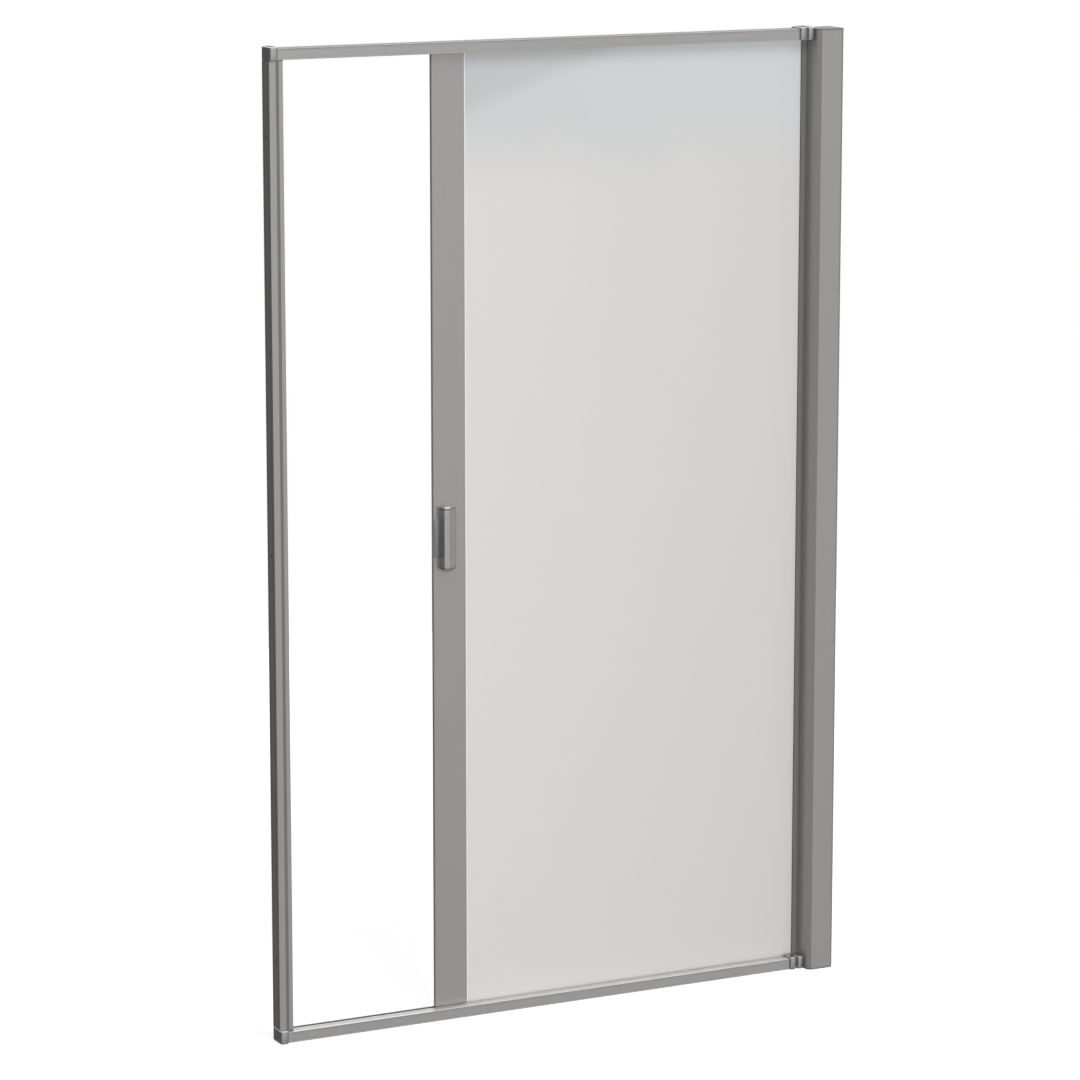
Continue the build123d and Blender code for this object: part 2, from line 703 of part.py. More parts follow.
# Handle grip: a straight side to push on, a flat front and a sloping side, with chamfered ends
grip_front = bar_front - grip_depth
grip_right = grip_left + grip_width
grip_low = handle_centre - handle_height / 2
with BuildPart() as handle_grip:
    with BuildSketch(Plane.XY.offset(grip_low)):
        with BuildLine():
            Polyline(
                (grip_left, bar_front),
                (grip_left, grip_front),
                (grip_left + grip_face, grip_front),
                (grip_right, bar_front - grip_shoulder),
                (grip_right, bar_front),
                close=True,
            )
        make_face()
    extrude(amount=handle_height)
    rims = handle_grip.faces().filter_by(Axis.Z).edges()
    chamfer(rims.filter_by(lambda edge: edge.center().Y < bar_front - seat_gap), length=grip_chamfer)
    with BuildSketch(Plane.XZ.offset(-bar_front)):
        plate_right = plate_left + plate_width + seat_gap
        plate_half = plate_height / 2 + seat_gap
        span(grip_left, plate_right, handle_centre - plate_half, handle_centre + plate_half)
    extrude(amount=plate_thickness + seat_gap, mode=Mode.SUBTRACT)
    with BuildSketch(Plane.XZ.offset(-bar_front)):
        for height in grip_screw_heights:
            disc(grip_screw_x, height, screw_shank_radius + seat_gap)
    extrude(amount=grip_screw_depth + fit_gap, mode=Mode.SUBTRACT)
save(handle_grip, "handle_grip")

# Two screws from behind, through the bar and the plate into the grip
with BuildPart() as handle_screws:
    with BuildSketch(Plane.XZ.offset(-bar_back)):
        for height in grip_screw_heights:
            disc(grip_screw_x, height, screw_head_radius)
    extrude(amount=-screw_head_height)
    with BuildSketch(Plane.XZ.offset(-bar_back)):
        for height in grip_screw_heights:
            disc(grip_screw_x, height, screw_shank_radius)
    extrude(amount=bar_depth + grip_screw_depth)
save(handle_screws, "handle_screws")
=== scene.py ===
"""Dress a packed retractable shower door with its film, fittings and finishes, and light it.

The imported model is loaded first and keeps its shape. Sizes that have to fit come from its boxes.
Lengths are in metres. X runs along the door, Y from the room into the shower, and Z up.
"""

import json
import math

import bmesh
import bpy
import numpy as np
from mathutils import Euler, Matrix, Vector
from mathutils.geometry import tessellate_polygon


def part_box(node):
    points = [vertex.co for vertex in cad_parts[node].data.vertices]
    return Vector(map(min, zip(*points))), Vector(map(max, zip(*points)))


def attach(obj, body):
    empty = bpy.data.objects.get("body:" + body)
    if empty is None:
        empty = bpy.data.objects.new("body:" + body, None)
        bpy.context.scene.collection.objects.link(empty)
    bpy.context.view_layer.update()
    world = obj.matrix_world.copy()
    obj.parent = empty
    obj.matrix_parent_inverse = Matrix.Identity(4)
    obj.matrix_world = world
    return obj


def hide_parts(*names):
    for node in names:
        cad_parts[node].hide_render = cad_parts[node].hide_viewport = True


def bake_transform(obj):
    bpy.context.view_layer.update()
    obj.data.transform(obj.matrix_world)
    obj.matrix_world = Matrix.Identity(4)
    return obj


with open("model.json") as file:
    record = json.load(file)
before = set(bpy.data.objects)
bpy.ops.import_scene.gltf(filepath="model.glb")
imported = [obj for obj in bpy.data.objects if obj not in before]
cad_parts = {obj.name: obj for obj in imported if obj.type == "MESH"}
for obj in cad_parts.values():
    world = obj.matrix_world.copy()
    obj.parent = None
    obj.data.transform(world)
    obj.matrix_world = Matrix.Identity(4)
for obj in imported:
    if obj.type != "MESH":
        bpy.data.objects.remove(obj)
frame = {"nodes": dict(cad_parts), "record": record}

bl_info = {
    "name": "Retractable Shower Door",
    "version": (1, 0, 0),
    "blender": (4, 5, 0),
    "location": "View3D > Sidebar > Shower Door",
    "description": "Dresses a packed shower door with its film, seals, handle and finishes",
    "category": "Add Mesh",
}

UP = 2
TURN = 2 * math.pi
MERGE_DISTANCE = 1e-6
BOX_DISTANCE = 1e-4
FLAT_ANGLE = math.radians(1)
ROUND_ANGLE = math.radians(30)
SHARP_ANGLE = math.radians(35)
MIX_FIRST, MIX_SECOND, MIX_RESULT = 6, 7, 2
WHITE = (1.0, 1.0, 1.0, 1.0)
SENSOR_WIDTH = 36.0


def corners_of(node):
    """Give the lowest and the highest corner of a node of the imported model."""
    low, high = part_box(node)
    return np.array(low), np.array(high)


def length_setting(name, description, default):
    """Describe a length that a user may change."""
    return bpy.props.FloatProperty(
        name=name, description=description, default=default, min=0.0, unit="LENGTH", precision=5
    )


def colour_setting(name, description, default):
    """Describe a colour that a user may change."""
    return bpy.props.FloatVectorProperty(
        name=name, description=description, default=default, size=3, subtype="COLOR", min=0.0, max=1.0
    )


def level_setting(name, description, default):
    """Describe a level of light that a user may change."""
    return bpy.props.FloatProperty(name=name, description=description, default=default, min=0.0)


class DoorSizes(bpy.types.PropertyGroup):
    """Sizes of the pieces that are modelled here."""

    cover_wall: length_setting("Cover wall", "Thickness of the cassette cover", 0.0016)
    cover_bevel: length_setting("Cover bevel", "Width of the bevels along the cover's front", 0.0056)
    cover_leg: length_setting("Cover leg", "Depth of the cover's side behind its bevel", 0.008)
    cover_round: length_setting("Cover round", "Radius along the edges of the bevels", 0.0008)
    lap_length: length_setting("Lap", "Length of the strip that snaps into the base", 0.004)
    lap_root: length_setting("Lap root", "Length of the strip's root inside the cover", 0.003)
    lap_thickness: length_setting("Lap thickness", "Thickness of the strip's root", 0.0012)
    lap_play: length_setting("Lap play", "Gap between the strip and the base's wall", 0.0002)
    crisp_round: length_setting("Crisp round", "Radius of the sharpest extruded edges", 0.00015)
    film_pitch: length_setting("Film pitch", "Distance from turn to turn of the wound film", 0.0005)
    hem_width: length_setting("Hem width", "Width of the bead along the film's edge", 0.0024)
    hem_rise: length_setting("Hem rise", "Height of the bead over the film", 0.00028)
    film_play: length_setting("Film play", "Gap between two turns of the wound film", 0.00004)
    grip_face: length_setting("Grip face", "Width of the grip's flat front", 0.0096)
    grip_shoulder: length_setting("Grip shoulder", "Height of the grip's low side", 0.0045)
    grip_round: length_setting("Grip round", "Radius along the front edges of the grip", 0.0011)
    grip_chamfer: length_setting("Grip chamfer", "Size of the sloping ends of the grip", 0.0025)
    # The dark seams are painted shade: dark strips for the shadow lines by the grip's ends.
    shadow_line_width: length_setting("Seam width", "Width of the dark seams under the grip's ends", 0.0022)
    shadow_groove_depth: length_setting("Seam depth", "Depth of the grooves that hold the seams", 0.0004)
    plate_round: length_setting("Plate round", "Radius of the handle plate's corners", 0.0025)
    plate_edge: length_setting("Plate edge", "Radius along the rim of the handle plate", 0.0004)
    spring_wire: length_setting("Spring wire", "Diameter of the torsion spring's wire", 0.0024)
    spring_pitch: length_setting("Spring pitch", "Distance from coil to coil", 0.00246)
    # Sizes of the dark strip that paints shade in the strike jamb's groove.
    groove_shade_play: length_setting("Infill play", "Gap between the infill and the wall jamb", 0.0005)
    groove_shade_width: length_setting("Infill width", "Width of the dark strip in the strike jamb", 0.0048)
    groove_shade_sink: length_setting("Infill sink", "Depth of the strip's face under the jamb's front", 0.0002)
    groove_shade_floor: length_setting("Infill floor", "Depth of the strip's back under the jamb's front", 0.00245)
    pile_tuft: length_setting("Pile tuft", "Width of one tuft of the pile strips", 0.0016)
    pile_thickness: length_setting("Pile thickness", "Reach of the track's pile from its wall", 0.0011)
    head_radius: length_setting("Screw head", "Radius of the screw heads", 0.0026)
    head_height: length_setting("Head height", "Height of the screw heads", 0.0016)
    shank_radius: length_setting("Screw shank", "Radius of the screws' threads", 0.0012)
    thread_pitch: length_setting("Thread pitch", "Distance from thread to thread", 0.0009)
    cap_screw: length_setting("Cap screws", "Length of the screws in the end caps", 0.01)
    cap_head: length_setting("Cap screw head", "Height of the sunk heads in the end caps", 0.001)
    recess_width: bpy.props.FloatProperty(
        name="Recess width", description="Width of the cross recess as a share of the head's radius",
        default=0.36, min=0.05, max=1.0,
    )
    profile_round: length_setting("Profile round", "Radius along the outer edges of the profiles", 0.0008)
    block_round: length_setting("Block round", "Radius along the edges of the blocks", 0.0004)
    cap_round: length_setting("Cap round", "Radius along the edges of caps and bearings", 0.0002)


class DoorColours(bpy.types.PropertyGroup):
    """Colours of the finishes."""

    aluminium: colour_setting("Aluminium", "Satin silver extrusions", (0.33, 0.325, 0.318))
    corner: colour_setting("Corners", "Moulded blocks in the colour of the frame", (0.35, 0.35, 0.35))
    cap: colour_setting("Caps", "Dark end caps and feet", (0.16, 0.16, 0.17))
    # Painted shade: the colour of the dark strip in the strike jamb's groove.
    groove_shade: colour_setting("Infill", "Dark strip in the strike jamb's groove", (0.15, 0.147, 0.145))
    magnet: colour_setting("Magnets", "Flexible magnet strips", (0.29, 0.275, 0.265))
    pile: colour_setting("Pile", "Pile strips and film wipers", (0.17, 0.17, 0.17))
    zinc: colour_setting("Zinc", "Zinc plated steel", (0.62, 0.62, 0.6))
    spring: colour_setting("Spring", "Oiled spring wire", (0.35, 0.35, 0.36))
    tube: colour_setting("Tube", "Mill finish roller tube", (0.6, 0.6, 0.61))
    nylon: colour_setting("Nylon", "Natural nylon bearings and spline", (0.8, 0.8, 0.76))
    # The film's colours carry painted light: lighter beside the bar, darker beside the cassette.
    film_near: colour_setting("Film, bar end", "Pearl film beside the pull bar", (0.668, 0.652, 0.64))
    film_far: colour_setting("Film, roller end", "Pearl film beside the cassette", (0.58, 0.566, 0.556))
    # Film hem: its bright colour is a painted highlight along the film's edge.
    hem_highlight: colour_setting("Film hem", "Bright bead along the film's edge", (0.86, 0.85, 0.84))
    # Sill: its near-white colour is a painted highlight on the top of the bottom track's ledge.
    sill_highlight: colour_setting("Sill", "Ledge of the bottom track, polished by wear", (0.93, 0.93, 0.92))
    # Painted shade: the cooler, darker tone along the top of the film.
    film_top_shade: colour_setting("Film, top", "Cooler tone along the top of the film", (0.568, 0.58, 0.585))
    handle: colour_setting("Handle", "Satin grey cast metal", (0.37, 0.37, 0.365))
    # Handle plate: its darker colour is painted shade under the grip.
    plate: colour_setting("Handle plate", "Duller metal of the plate", (0.235, 0.23, 0.235))
    screw: colour_setting("Handle screws", "Dull steel", (0.45, 0.45, 0.45))
    floor: colour_setting("Floor", "Pale studio floor", (0.7, 0.7, 0.7))


class StudioSettings(bpy.types.PropertyGroup):
    """Camera and light of the studio."""

    camera_place: bpy.props.FloatVectorProperty(
        name="Camera place", description="Where the camera stands", size=3, unit="LENGTH",
        default=(-2.86829, -5.63427, 1.92057),
    )
    camera_turn: bpy.props.FloatProperty(
        name="Camera turn", description="Turn from looking straight into the shower, to the right",
        subtype="ANGLE", default=0.46597,
    )
    camera_tilt: bpy.props.FloatProperty(
        name="Camera tilt", description="Tilt below the horizon", subtype="ANGLE", default=0.18939
    )
    camera_lens: bpy.props.FloatProperty(
        name="Lens", description="Focal length on a 36 mm sensor", unit="CAMERA", default=145.31
    )
    floor_side: length_setting("Floor side", "Side of the square floor", 5.0)
    floor_glow: level_setting("Floor glow", "White that the camera sees on the floor by itself", 0.65)
    fill_level: level_setting("Fill", "Soft light from every side", 0.26)
    side_level: level_setting("Sides", "Reflected level of the side walls", 0.15)
    front_level: level_setting("Front screen", "Reflected level of the screen in front", 0.98)
    ceiling_level: level_setting("Ceiling", "Reflected level of the white ceiling", 2.0)
    rear_level: level_setting("Rear screen", "Reflected level of the screen behind", 0.9)



class Value:
    """A number that flows through a node tree. Arithmetic on it adds the Math nodes."""

    def __init__(self, nodes, socket):
        self.nodes = nodes
        self.socket = socket

    def join(self, operation, first, second):
        """Put two numbers through a Math node."""
        node = self.nodes.add("ShaderNodeMath", {"operation": operation}, {0: first, 1: second})
        return Value(self.nodes, node.outputs[0])

    def __add__(self, other):
        return self.join("ADD", self, other)

    def __radd__(self, other):
        return self.join("ADD", other, self)

    def __sub__(self, other):
        return self.join("SUBTRACT", self, other)

    def __rsub__(self, other):
        return self.join("SUBTRACT", other, self)

    def __mul__(self, other):
        return self.join("MULTIPLY", self, other)

    def __rmul__(self, other):
        return self.join("MULTIPLY", other, self)

    def __truediv__(self, other):
        return self.join("DIVIDE", self, other)

    def at_least(self, limit):
        """Keep the number from falling below a limit."""
        return self.join("MAXIMUM", self, limit)

    def at_most(self, limit):
        """Keep the number from rising above a limit."""
        return self.join("MINIMUM", self, limit)

    def ramp(self, low, high):
        """Rise from 0 at one level to 1 at another."""
        return ((self - low) / (high - low)).at_least(0.0).at_most(1.0)

    def around(self, middle, spread):
        """Spread a number from 0 to 1 evenly around a middle."""
        return middle - spread / 2 + self * spread


class Nodes:
    """A node tree that is filled by one method."""

    def __init__(self, tree):
        self.tree = tree
        tree.nodes.clear()

    def add(self, kind, options=None, sockets=None):
        """Add a node of one kind, set its options, then set or link its sockets."""
        node = self.tree.nodes.new(kind)
        for option, choice in (options or {}).items():
            setattr(node, option, choice)
        for place, value in (sockets or {}).items():
            if isinstance(value, Value):
                self.tree.links.new(value.socket, node.inputs[place])
            else:
                node.inputs[place].default_value = value
        return node

    def out(self, node, place=0):
        """Wrap one output of a node."""
        return Value(self, node.outputs[place])

    def axes(self, output="Object"):
        """Give the three coordinates of a place, each as a number."""
        place = self.out(self.add("ShaderNodeTexCoord"), output)
        split = self.add("ShaderNodeSeparateXYZ", None, {0: place})
        return [self.out(split, axis) for axis in range(3)]

    def rays(self):
        """Mark the camera's own rays, and those that were mirrored or passed through something."""
        path = self.add("ShaderNodeLightPath")
        mirrored = self.out(path, "Is Glossy Ray") + self.out(path, "Is Transmission Ray")
        return self.out(path, "Is Camera Ray"), mirrored.at_most(1.0)

    def noise(self, scale, detail, output="Object"):
        """Give soft random values from 0 to 1, scaled along each axis of the coordinates."""
        place = self.out(self.add("ShaderNodeTexCoord"), output)
        where = self.out(self.add("ShaderNodeMapping", None, {"Vector": place, "Scale": scale}))
        sockets = {"Vector": where, "Scale": 1.0, "Detail": detail}
        return self.out(self.add("ShaderNodeTexNoise", None, sockets))

    def between(self, share, low, high):
        """Mix two colours by a share from 0 to 1."""
        first, second = (end if isinstance(end, Value) else (*end, 1.0) for end in (low, high))
        sockets = {0: share, MIX_FIRST: first, MIX_SECOND: second}
        return self.out(self.add("ShaderNodeMix", {"data_type": "RGBA"}, sockets), MIX_RESULT)

    def tones(self, share, colour, darkest, lightest):
        """Mix a darker and a lighter tone of one colour."""
        return self.between(share, shade(colour, darkest), shade(colour, lightest))

    def bump(self, height, distance, strength):
        """Turn a height into a normal."""
        sockets = {"Height": height, "Distance": distance, "Strength": strength}
        return self.out(self.add("ShaderNodeBump", None, sockets))


def shade(colour, factor):
    """Make a colour lighter or darker."""
    return tuple(min(1.0, part * factor) for part in colour)


def finish_material(name, build):
    """Make a material and let a function fill in the sockets of its shader."""
    material = bpy.data.materials.new(f"{name}_finish")
    material.use_nodes = True
    nodes = Nodes(material.node_tree)
    shader = nodes.add("ShaderNodeBsdfPrincipled", None, build(nodes))
    nodes.add("ShaderNodeOutputMaterial", None, {"Surface": nodes.out(shader)})
    return material


def satin_metal(colour, metallic, roughness, grain, streak=0.04, painted_highlight=None):
    """Describe a satin metal whose fine die lines run along the piece.

    The grain is the scale of its noise along each axis: small along the lines and large across.
    Given a painted highlight, its pale colour takes over above a height, softly varied by the die lines.
    """
    line_share, highlight_grain, highlight_edge = 0.6, 0.1, 0.0002

    def build(nodes):
        lines = nodes.noise(grain, detail=3.0)
        cloud = nodes.noise((9.0, 9.0, 5.0), detail=2.0)
        tone = lines * line_share + cloud * (1 - line_share)
        finish = nodes.tones(tone, colour, 1 - streak, 1 + streak)
        # Painted highlight: above the given height the colour turns to the highlight colour, softly varied
        # by the die lines.
        if painted_highlight:
            highlight_colour, height = painted_highlight
            highlight_mask = nodes.axes()[UP].ramp(height - highlight_edge, height)
            finish = nodes.between(highlight_mask * (1 - highlight_grain + highlight_grain * lines), finish, highlight_colour)
        return {
            "Base Color": finish,
            "Metallic": metallic,
            "Roughness": lines.around(roughness, spread=0.08),
            "Normal": nodes.bump(lines, distance=0.00002, strength=0.6),
        }

    return build


def moulded_plastic(colour, roughness, grain=1400.0):
    """Describe a moulded plastic with a fine spark-eroded grain."""

    def build(nodes):
        specks = nodes.noise((grain, grain, grain), detail=2.0)
        cloud = nodes.noise((30.0, 30.0, 30.0), detail=1.0)
        return {
            "Base Color": nodes.tones(cloud, colour, darkest=0.94, lightest=1.06),
            "Roughness": specks.around(roughness, spread=0.1),
            "Normal": nodes.bump(specks, distance=0.00004, strength=0.5),
        }

    return build


def pile_fibre(colour):
    """Describe dense upright fibres, darker between the tufts."""

    def build(nodes):
        fibres = nodes.noise((2600.0, 2600.0, 700.0), detail=2.0)
        return {
            "Base Color": nodes.tones(fibres, colour, darkest=0.45, lightest=1.6),
            "Roughness": 0.95,
            "Specular IOR Level": 0.1,
            "Normal": nodes.bump(fibres, distance=0.0002, strength=0.8),
        }

    return build


def pearl_film(near, far, cool_shade):
    """Describe the pearl film with painted light: darker towards the roller, cooler and darker at the top.

    Its corner at the top by the bar is darker with painted shade, above a line that rises towards
    the roller. Soft streaks of painted reflection make the borders of the tones sway.
    """
    top_slope, top_border = 0.02, (0.86, 0.93)
    corner_slope, corner_border, corner_shade = 0.143, (0.925, 0.945), 0.88

    def build(nodes):
        along, height, _ = nodes.axes("UV")
        reflection_streaks = nodes.noise((2.2, 0.9, 1.0), detail=2.0, output="UV")
        fine = nodes.noise((900.0, 2200.0, 1.0), detail=1.0, output="UV")
        # Painted light: darker from the bar towards the roller; painted shade along the top and in the top
        # corner by the bar; the streaks are painted reflections.
        share = (along + reflection_streaks.around(0.0, spread=0.3)).at_least(0.0).at_most(1.0)
        top = height + reflection_streaks.around(0.0, spread=0.08) + along * top_slope
        corner = height - along * corner_slope + reflection_streaks.around(0.0, spread=0.02)
        body = nodes.between(share, near, far)
        tone = nodes.between(top.ramp(*top_border), body, cool_shade)
        return {
            "Base Color": nodes.between(corner.ramp(*corner_border), tone, shade(cool_shade, corner_shade)),
            "Roughness": fine.around(0.45, spread=0.06),
            "Coat Weight": reflection_streaks.around(0.15, spread=0.06),
            "Coat Roughness": 0.3,
            "Normal": nodes.bump(fine, distance=0.00001, strength=0.3),
        }

    return build


def coil_steel(colour, metallic, roughness):
    """Describe bare or plated steel with soft blotches."""

    def build(nodes):
        blotches = nodes.noise((260.0, 260.0, 260.0), detail=3.0)
        return {
            "Base Color": nodes.tones(blotches, colour, darkest=0.85, lightest=1.1),
            "Metallic": metallic,
            "Roughness": blotches.around(roughness, spread=0.12),
            "Normal": nodes.bump(blotches, distance=0.00003, strength=0.4),
        }

    return build


def add_object(name, data):
    """Put new data into the scene as an object."""
    piece = bpy.data.objects.new(name, data)
    bpy.context.scene.collection.objects.link(piece)
    return piece


def make_mesh(name, points, faces, normals=None):
    """Put points and faces into a mesh object, with the normals of the face corners where given."""
    mesh = bpy.data.meshes.new(name)
    mesh.from_pydata(points.tolist(), [], faces)
    mesh.polygons.foreach_set("use_smooth", np.ones(len(faces), bool))
    if normals is None:
        mesh.set_sharp_from_angle(angle=SHARP_ANGLE)
    else:
        mesh.normals_split_custom_set(normals.tolist())
    mesh.validate()
    return add_object(name, mesh)


def rounded_loop(corners, radii, steps=3):
    """Round the corners of a closed outline, and give its points and outward normals.

    At each corner the direction turns evenly from one side to the next, about a centre that lies
    one radius inside both sides. The outline runs anticlockwise, so outwards is to its right.
    """
    corners = np.asarray(corners, float)
    radii = np.broadcast_to(np.asarray(radii, float), len(corners))
    towards = corners - np.roll(corners, 1, axis=0)
    towards /= np.linalg.norm(towards, axis=1)[:, None]
    away = np.roll(towards, -1, axis=0)
    turn = np.arctan2(
        towards[:, 0] * away[:, 1] - towards[:, 1] * away[:, 0], (towards * away).sum(axis=1)
    )
    side = np.sign(turn)
    setback = radii * np.tan(np.abs(turn) / 2)
    left = np.stack([-towards[:, 1], towards[:, 0]], axis=1)
    centre = corners - towards * setback[:, None] + left * (radii * side)[:, None]
    angle = turn[:, None] * np.linspace(0, 1, steps + 1)[None, :]
    heading = np.arctan2(towards[:, 1], towards[:, 0])[:, None] + angle
    normals = np.stack([np.sin(heading), -np.cos(heading)], axis=2)
    points = centre[:, None, :] + normals * (radii * side)[:, None, None]
    return points.reshape(-1, 2), normals.reshape(-1, 2)


def inset_corners(corners, insets):
    """Move each side of an outline inwards by its own distance, and give the new corners.

    A corner is where its two moved sides meet. Side i runs from corner i to the next one.
    """
    along = np.roll(corners, -1, axis=0) - corners
    along /= np.linalg.norm(along, axis=1)[:, None]
    start = corners + np.stack([-along[:, 1], along[:, 0]], axis=1) * insets[:, None]
    before, before_start = np.roll(along, 1, axis=0), np.roll(start, 1, axis=0)
    gap = start - before_start
    cross = before[:, 0] * along[:, 1] - before[:, 1] * along[:, 0]
    reach = (gap[:, 0] * along[:, 1] - gap[:, 1] * along[:, 0]) / cross
    return before_start + before * reach[:, None]


def place_on_axis(flat, depth, axis):
    """Stand flat points at a depth along an axis, with the other two axes following in turn."""
    columns = [None, None, None]
    columns[axis] = depth
    columns[(axis + 1) % 3] = flat[..., 0]
    columns[(axis + 2) % 3] = flat[..., 1]
    return np.stack(np.broadcast_arrays(*columns), axis=-1)


def rectangle(low, high):
    """Give the corners of a rectangle, anticlockwise from its lowest."""
    return np.array([(low[0], low[1]), (high[0], low[1]), (high[0], high[1]), (low[0], high[1])])


def stack_up(section, heights):
    """Repeat a flat section at several heights."""
    return np.stack([place_on_axis(section, height, UP) for height in heights])


def ring_faces(rings, count):
    """Number the corners of the faces between neighbouring rings of points."""
    start = np.arange(rings - 1)[:, None] * count
    here = np.arange(count)[None, :]
    following = (here + 1) % count
    corners = [start + here, start + following, start + count + following, start + count + here]
    return np.stack(corners, axis=-1).reshape(-1, 4)


def closed_faces(rings, start):
    """Number the corners of the faces of a closed body: its walls and a cap at both ends."""
    count = rings.shape[1]
    last = start + (len(rings) - 1) * count
    caps = [list(range(start + count - 1, start - 1, -1)), list(range(last, last + count))]
    return (ring_faces(len(rings), count) + start).tolist() + caps


def loft(name, *bodies):
    """Join rings of points, given as an array of rings by points by three, and cap both ends.

    Each further array makes one more body of the same piece.
    """
    faces, start = [], 0
    for rings in bodies:
        faces += closed_faces(rings, start)
        start += rings.shape[0] * rings.shape[1]
    return make_mesh(name, np.concatenate([rings.reshape(-1, 3) for rings in bodies]), faces)


def extrusion(name, outline, radii, low, high, axis=UP):
    """Carry one rounded outline straight along an axis, with exact normals and flat ends.

    The outline is given in the two axes that follow the chosen one, and runs anticlockwise.
    """
    flat, outward = rounded_loop(outline, radii)
    count = len(flat)
    walls = ring_faces(2, count)
    fan = np.array(tessellate_polygon([[Vector((*point, 0.0)) for point in flat]]))
    spoke = flat[fan]
    first, second = spoke[:, 1] - spoke[:, 0], spoke[:, 2] - spoke[:, 0]
    backwards = first[:, 0] * second[:, 1] - first[:, 1] * second[:, 0] < 0
    fan[backwards] = fan[backwards][:, ::-1]
    points = np.concatenate([place_on_axis(flat, low, axis), place_on_axis(flat, high, axis)])
    wall_normals = place_on_axis(outward, 0.0, axis)[walls % count].reshape(-1, 3)
    end = np.zeros(3)
    end[axis] = 1.0
    end_normals = np.repeat([-end, end], 3 * len(fan), axis=0)
    faces = walls.tolist() + fan[:, ::-1].tolist() + (fan + count).tolist()
    return make_mesh(name, points, faces, np.concatenate([wall_normals, end_normals]))


def dress(piece, body, material, slot, *nodes):
    """Give a piece its material and its body, and hide the nodes that it stands for."""
    piece.data.materials.clear()
    piece.data.materials.append(bpy.data.materials[f"{material}_finish"])
    if body:
        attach(piece, body)
    if nodes:
        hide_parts(*nodes)
    return piece


class MakeFinishes(bpy.types.Operator):
    """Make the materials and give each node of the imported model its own."""

    bl_idname = "shower_door.finishes"
    bl_label = "Finishes"

    def execute(self, context):
        colours = context.scene.door_colours
        sill_top = corners_of("bottom_track")[1][UP]
        upright, level = (900.0, 900.0, 3.0), (3.0, 900.0, 900.0)
        blasted, cast = (700.0, 700.0, 700.0), (500.0, 500.0, 500.0)
        silver, screw = colours.aluminium, colours.screw
        builders = {
            "silver_aluminium": satin_metal(silver, metallic=0.6, roughness=0.3, grain=upright),
            "silver_track": satin_metal(silver, metallic=0.3, roughness=0.3, grain=level),
            # The bottom track's ledge gets a painted highlight above its top height.
            "silver_sill": satin_metal(
                silver, metallic=0.3, roughness=0.3, grain=level, painted_highlight=(colours.sill_highlight, sill_top)
            ),
            "grey_corner": satin_metal(
                colours.corner, metallic=0.8, roughness=0.2, grain=blasted, streak=0.03
            ),
            "dark_cap": moulded_plastic(colours.cap, roughness=0.5),
            # Painted shade for the strike jamb's groove.
            "painted_groove_shade": moulded_plastic(colours.groove_shade, roughness=0.6),
            "magnet_strip": moulded_plastic(colours.magnet, roughness=0.6, grain=900.0),
            "pile_seal": pile_fibre(colours.pile),
            "zinc_steel": coil_steel(colours.zinc, metallic=0.9, roughness=0.35),
            "spring_steel": coil_steel(colours.spring, metallic=0.9, roughness=0.4),
            "roller_tube": satin_metal(colours.tube, metallic=0.85, roughness=0.35, grain=upright),
            "white_nylon": moulded_plastic(colours.nylon, roughness=0.45, grain=700.0),
            # The film's material paints light and shade across it.
            "pearl_film": pearl_film(colours.film_near, colours.film_far, colours.film_top_shade),
            # Painted highlight on the bead along the film's edge.
            "film_hem_highlight": moulded_plastic(colours.hem_highlight, roughness=0.35),
            "handle_metal": satin_metal(
                colours.handle, metallic=0.75, roughness=0.25, grain=cast, streak=0.03
            ),
            # A darker copy of the handle metal: painted shade on the plate under the grip.
            "handle_plate": satin_metal(
                colours.plate, metallic=0.7, roughness=0.3, grain=cast, streak=0.03
            ),
            "handle_screw": coil_steel(screw, metallic=0.9, roughness=0.4),
        }
        for name, builder in builders.items():
            finish_material(name, builder)
        for row in frame["record"]["subparts"]:
            node = frame["nodes"][row["node"]]
            node.data.materials.clear()
            node.data.materials.append(bpy.data.materials[f"{row['material_slot']}_finish"])
        return {"FINISHED"}


class MakeFilm(bpy.types.Operator):
    """Make the film between the pull bar and the roller, which on the door gets shorter as the bar slides;
    the mesh here is fixed.
    """

    bl_idname = "shower_door.film"
    bl_label = "Film"

    def execute(self, context):
        low, high = corners_of("film_sheet")
        rows = 33
        rings = stack_up(rectangle(low, high), np.linspace(low[UP], high[UP], rows))
        film = loft("film_sheet_visual", rings)
        self.unroll(film, low, high)
        dress(film, None, "pearl_film", "pearl_film", "film_sheet")
        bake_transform(film)
        self.make_hem(context.scene.door_sizes, low[1])
        return {"FINISHED"}

    def make_hem(self, sizes, face):
        """Carry half an ellipse up the bar's edge, for the bead where the film leaves its spline; its bright
        colour is a painted highlight.
        """
        low, high = corners_of("pull_bar")
        around = 9
        turn = np.linspace(math.pi, 0, around)
        across = high[0] + sizes.hem_width / 2 * (1 + np.cos(turn))
        section = np.stack([across, face - sizes.hem_rise * np.sin(turn)], axis=1)
        rings = stack_up(section, (low[UP], high[UP]))
        dress(loft("film_hem_highlight", rings), "bar", "film_hem_highlight", "pearl_film")

    def unroll(self, film, low, high):
        """Lay the film's map out: across it from the bar to the roller, and up from its lower edge."""
        mesh = film.data
        places = np.zeros(len(mesh.vertices) * 3)
        mesh.vertices.foreach_get("co", places)
        share = (places.reshape(-1, 3) - low) / (high - low)
        corner_points = np.zeros(len(mesh.loops), int)
        mesh.loops.foreach_get("vertex_index", corner_points)
        layer = mesh.uv_layers.new(name="film")
        layer.data.foreach_set("uv", share[corner_points][:, [0, 2]].ravel())


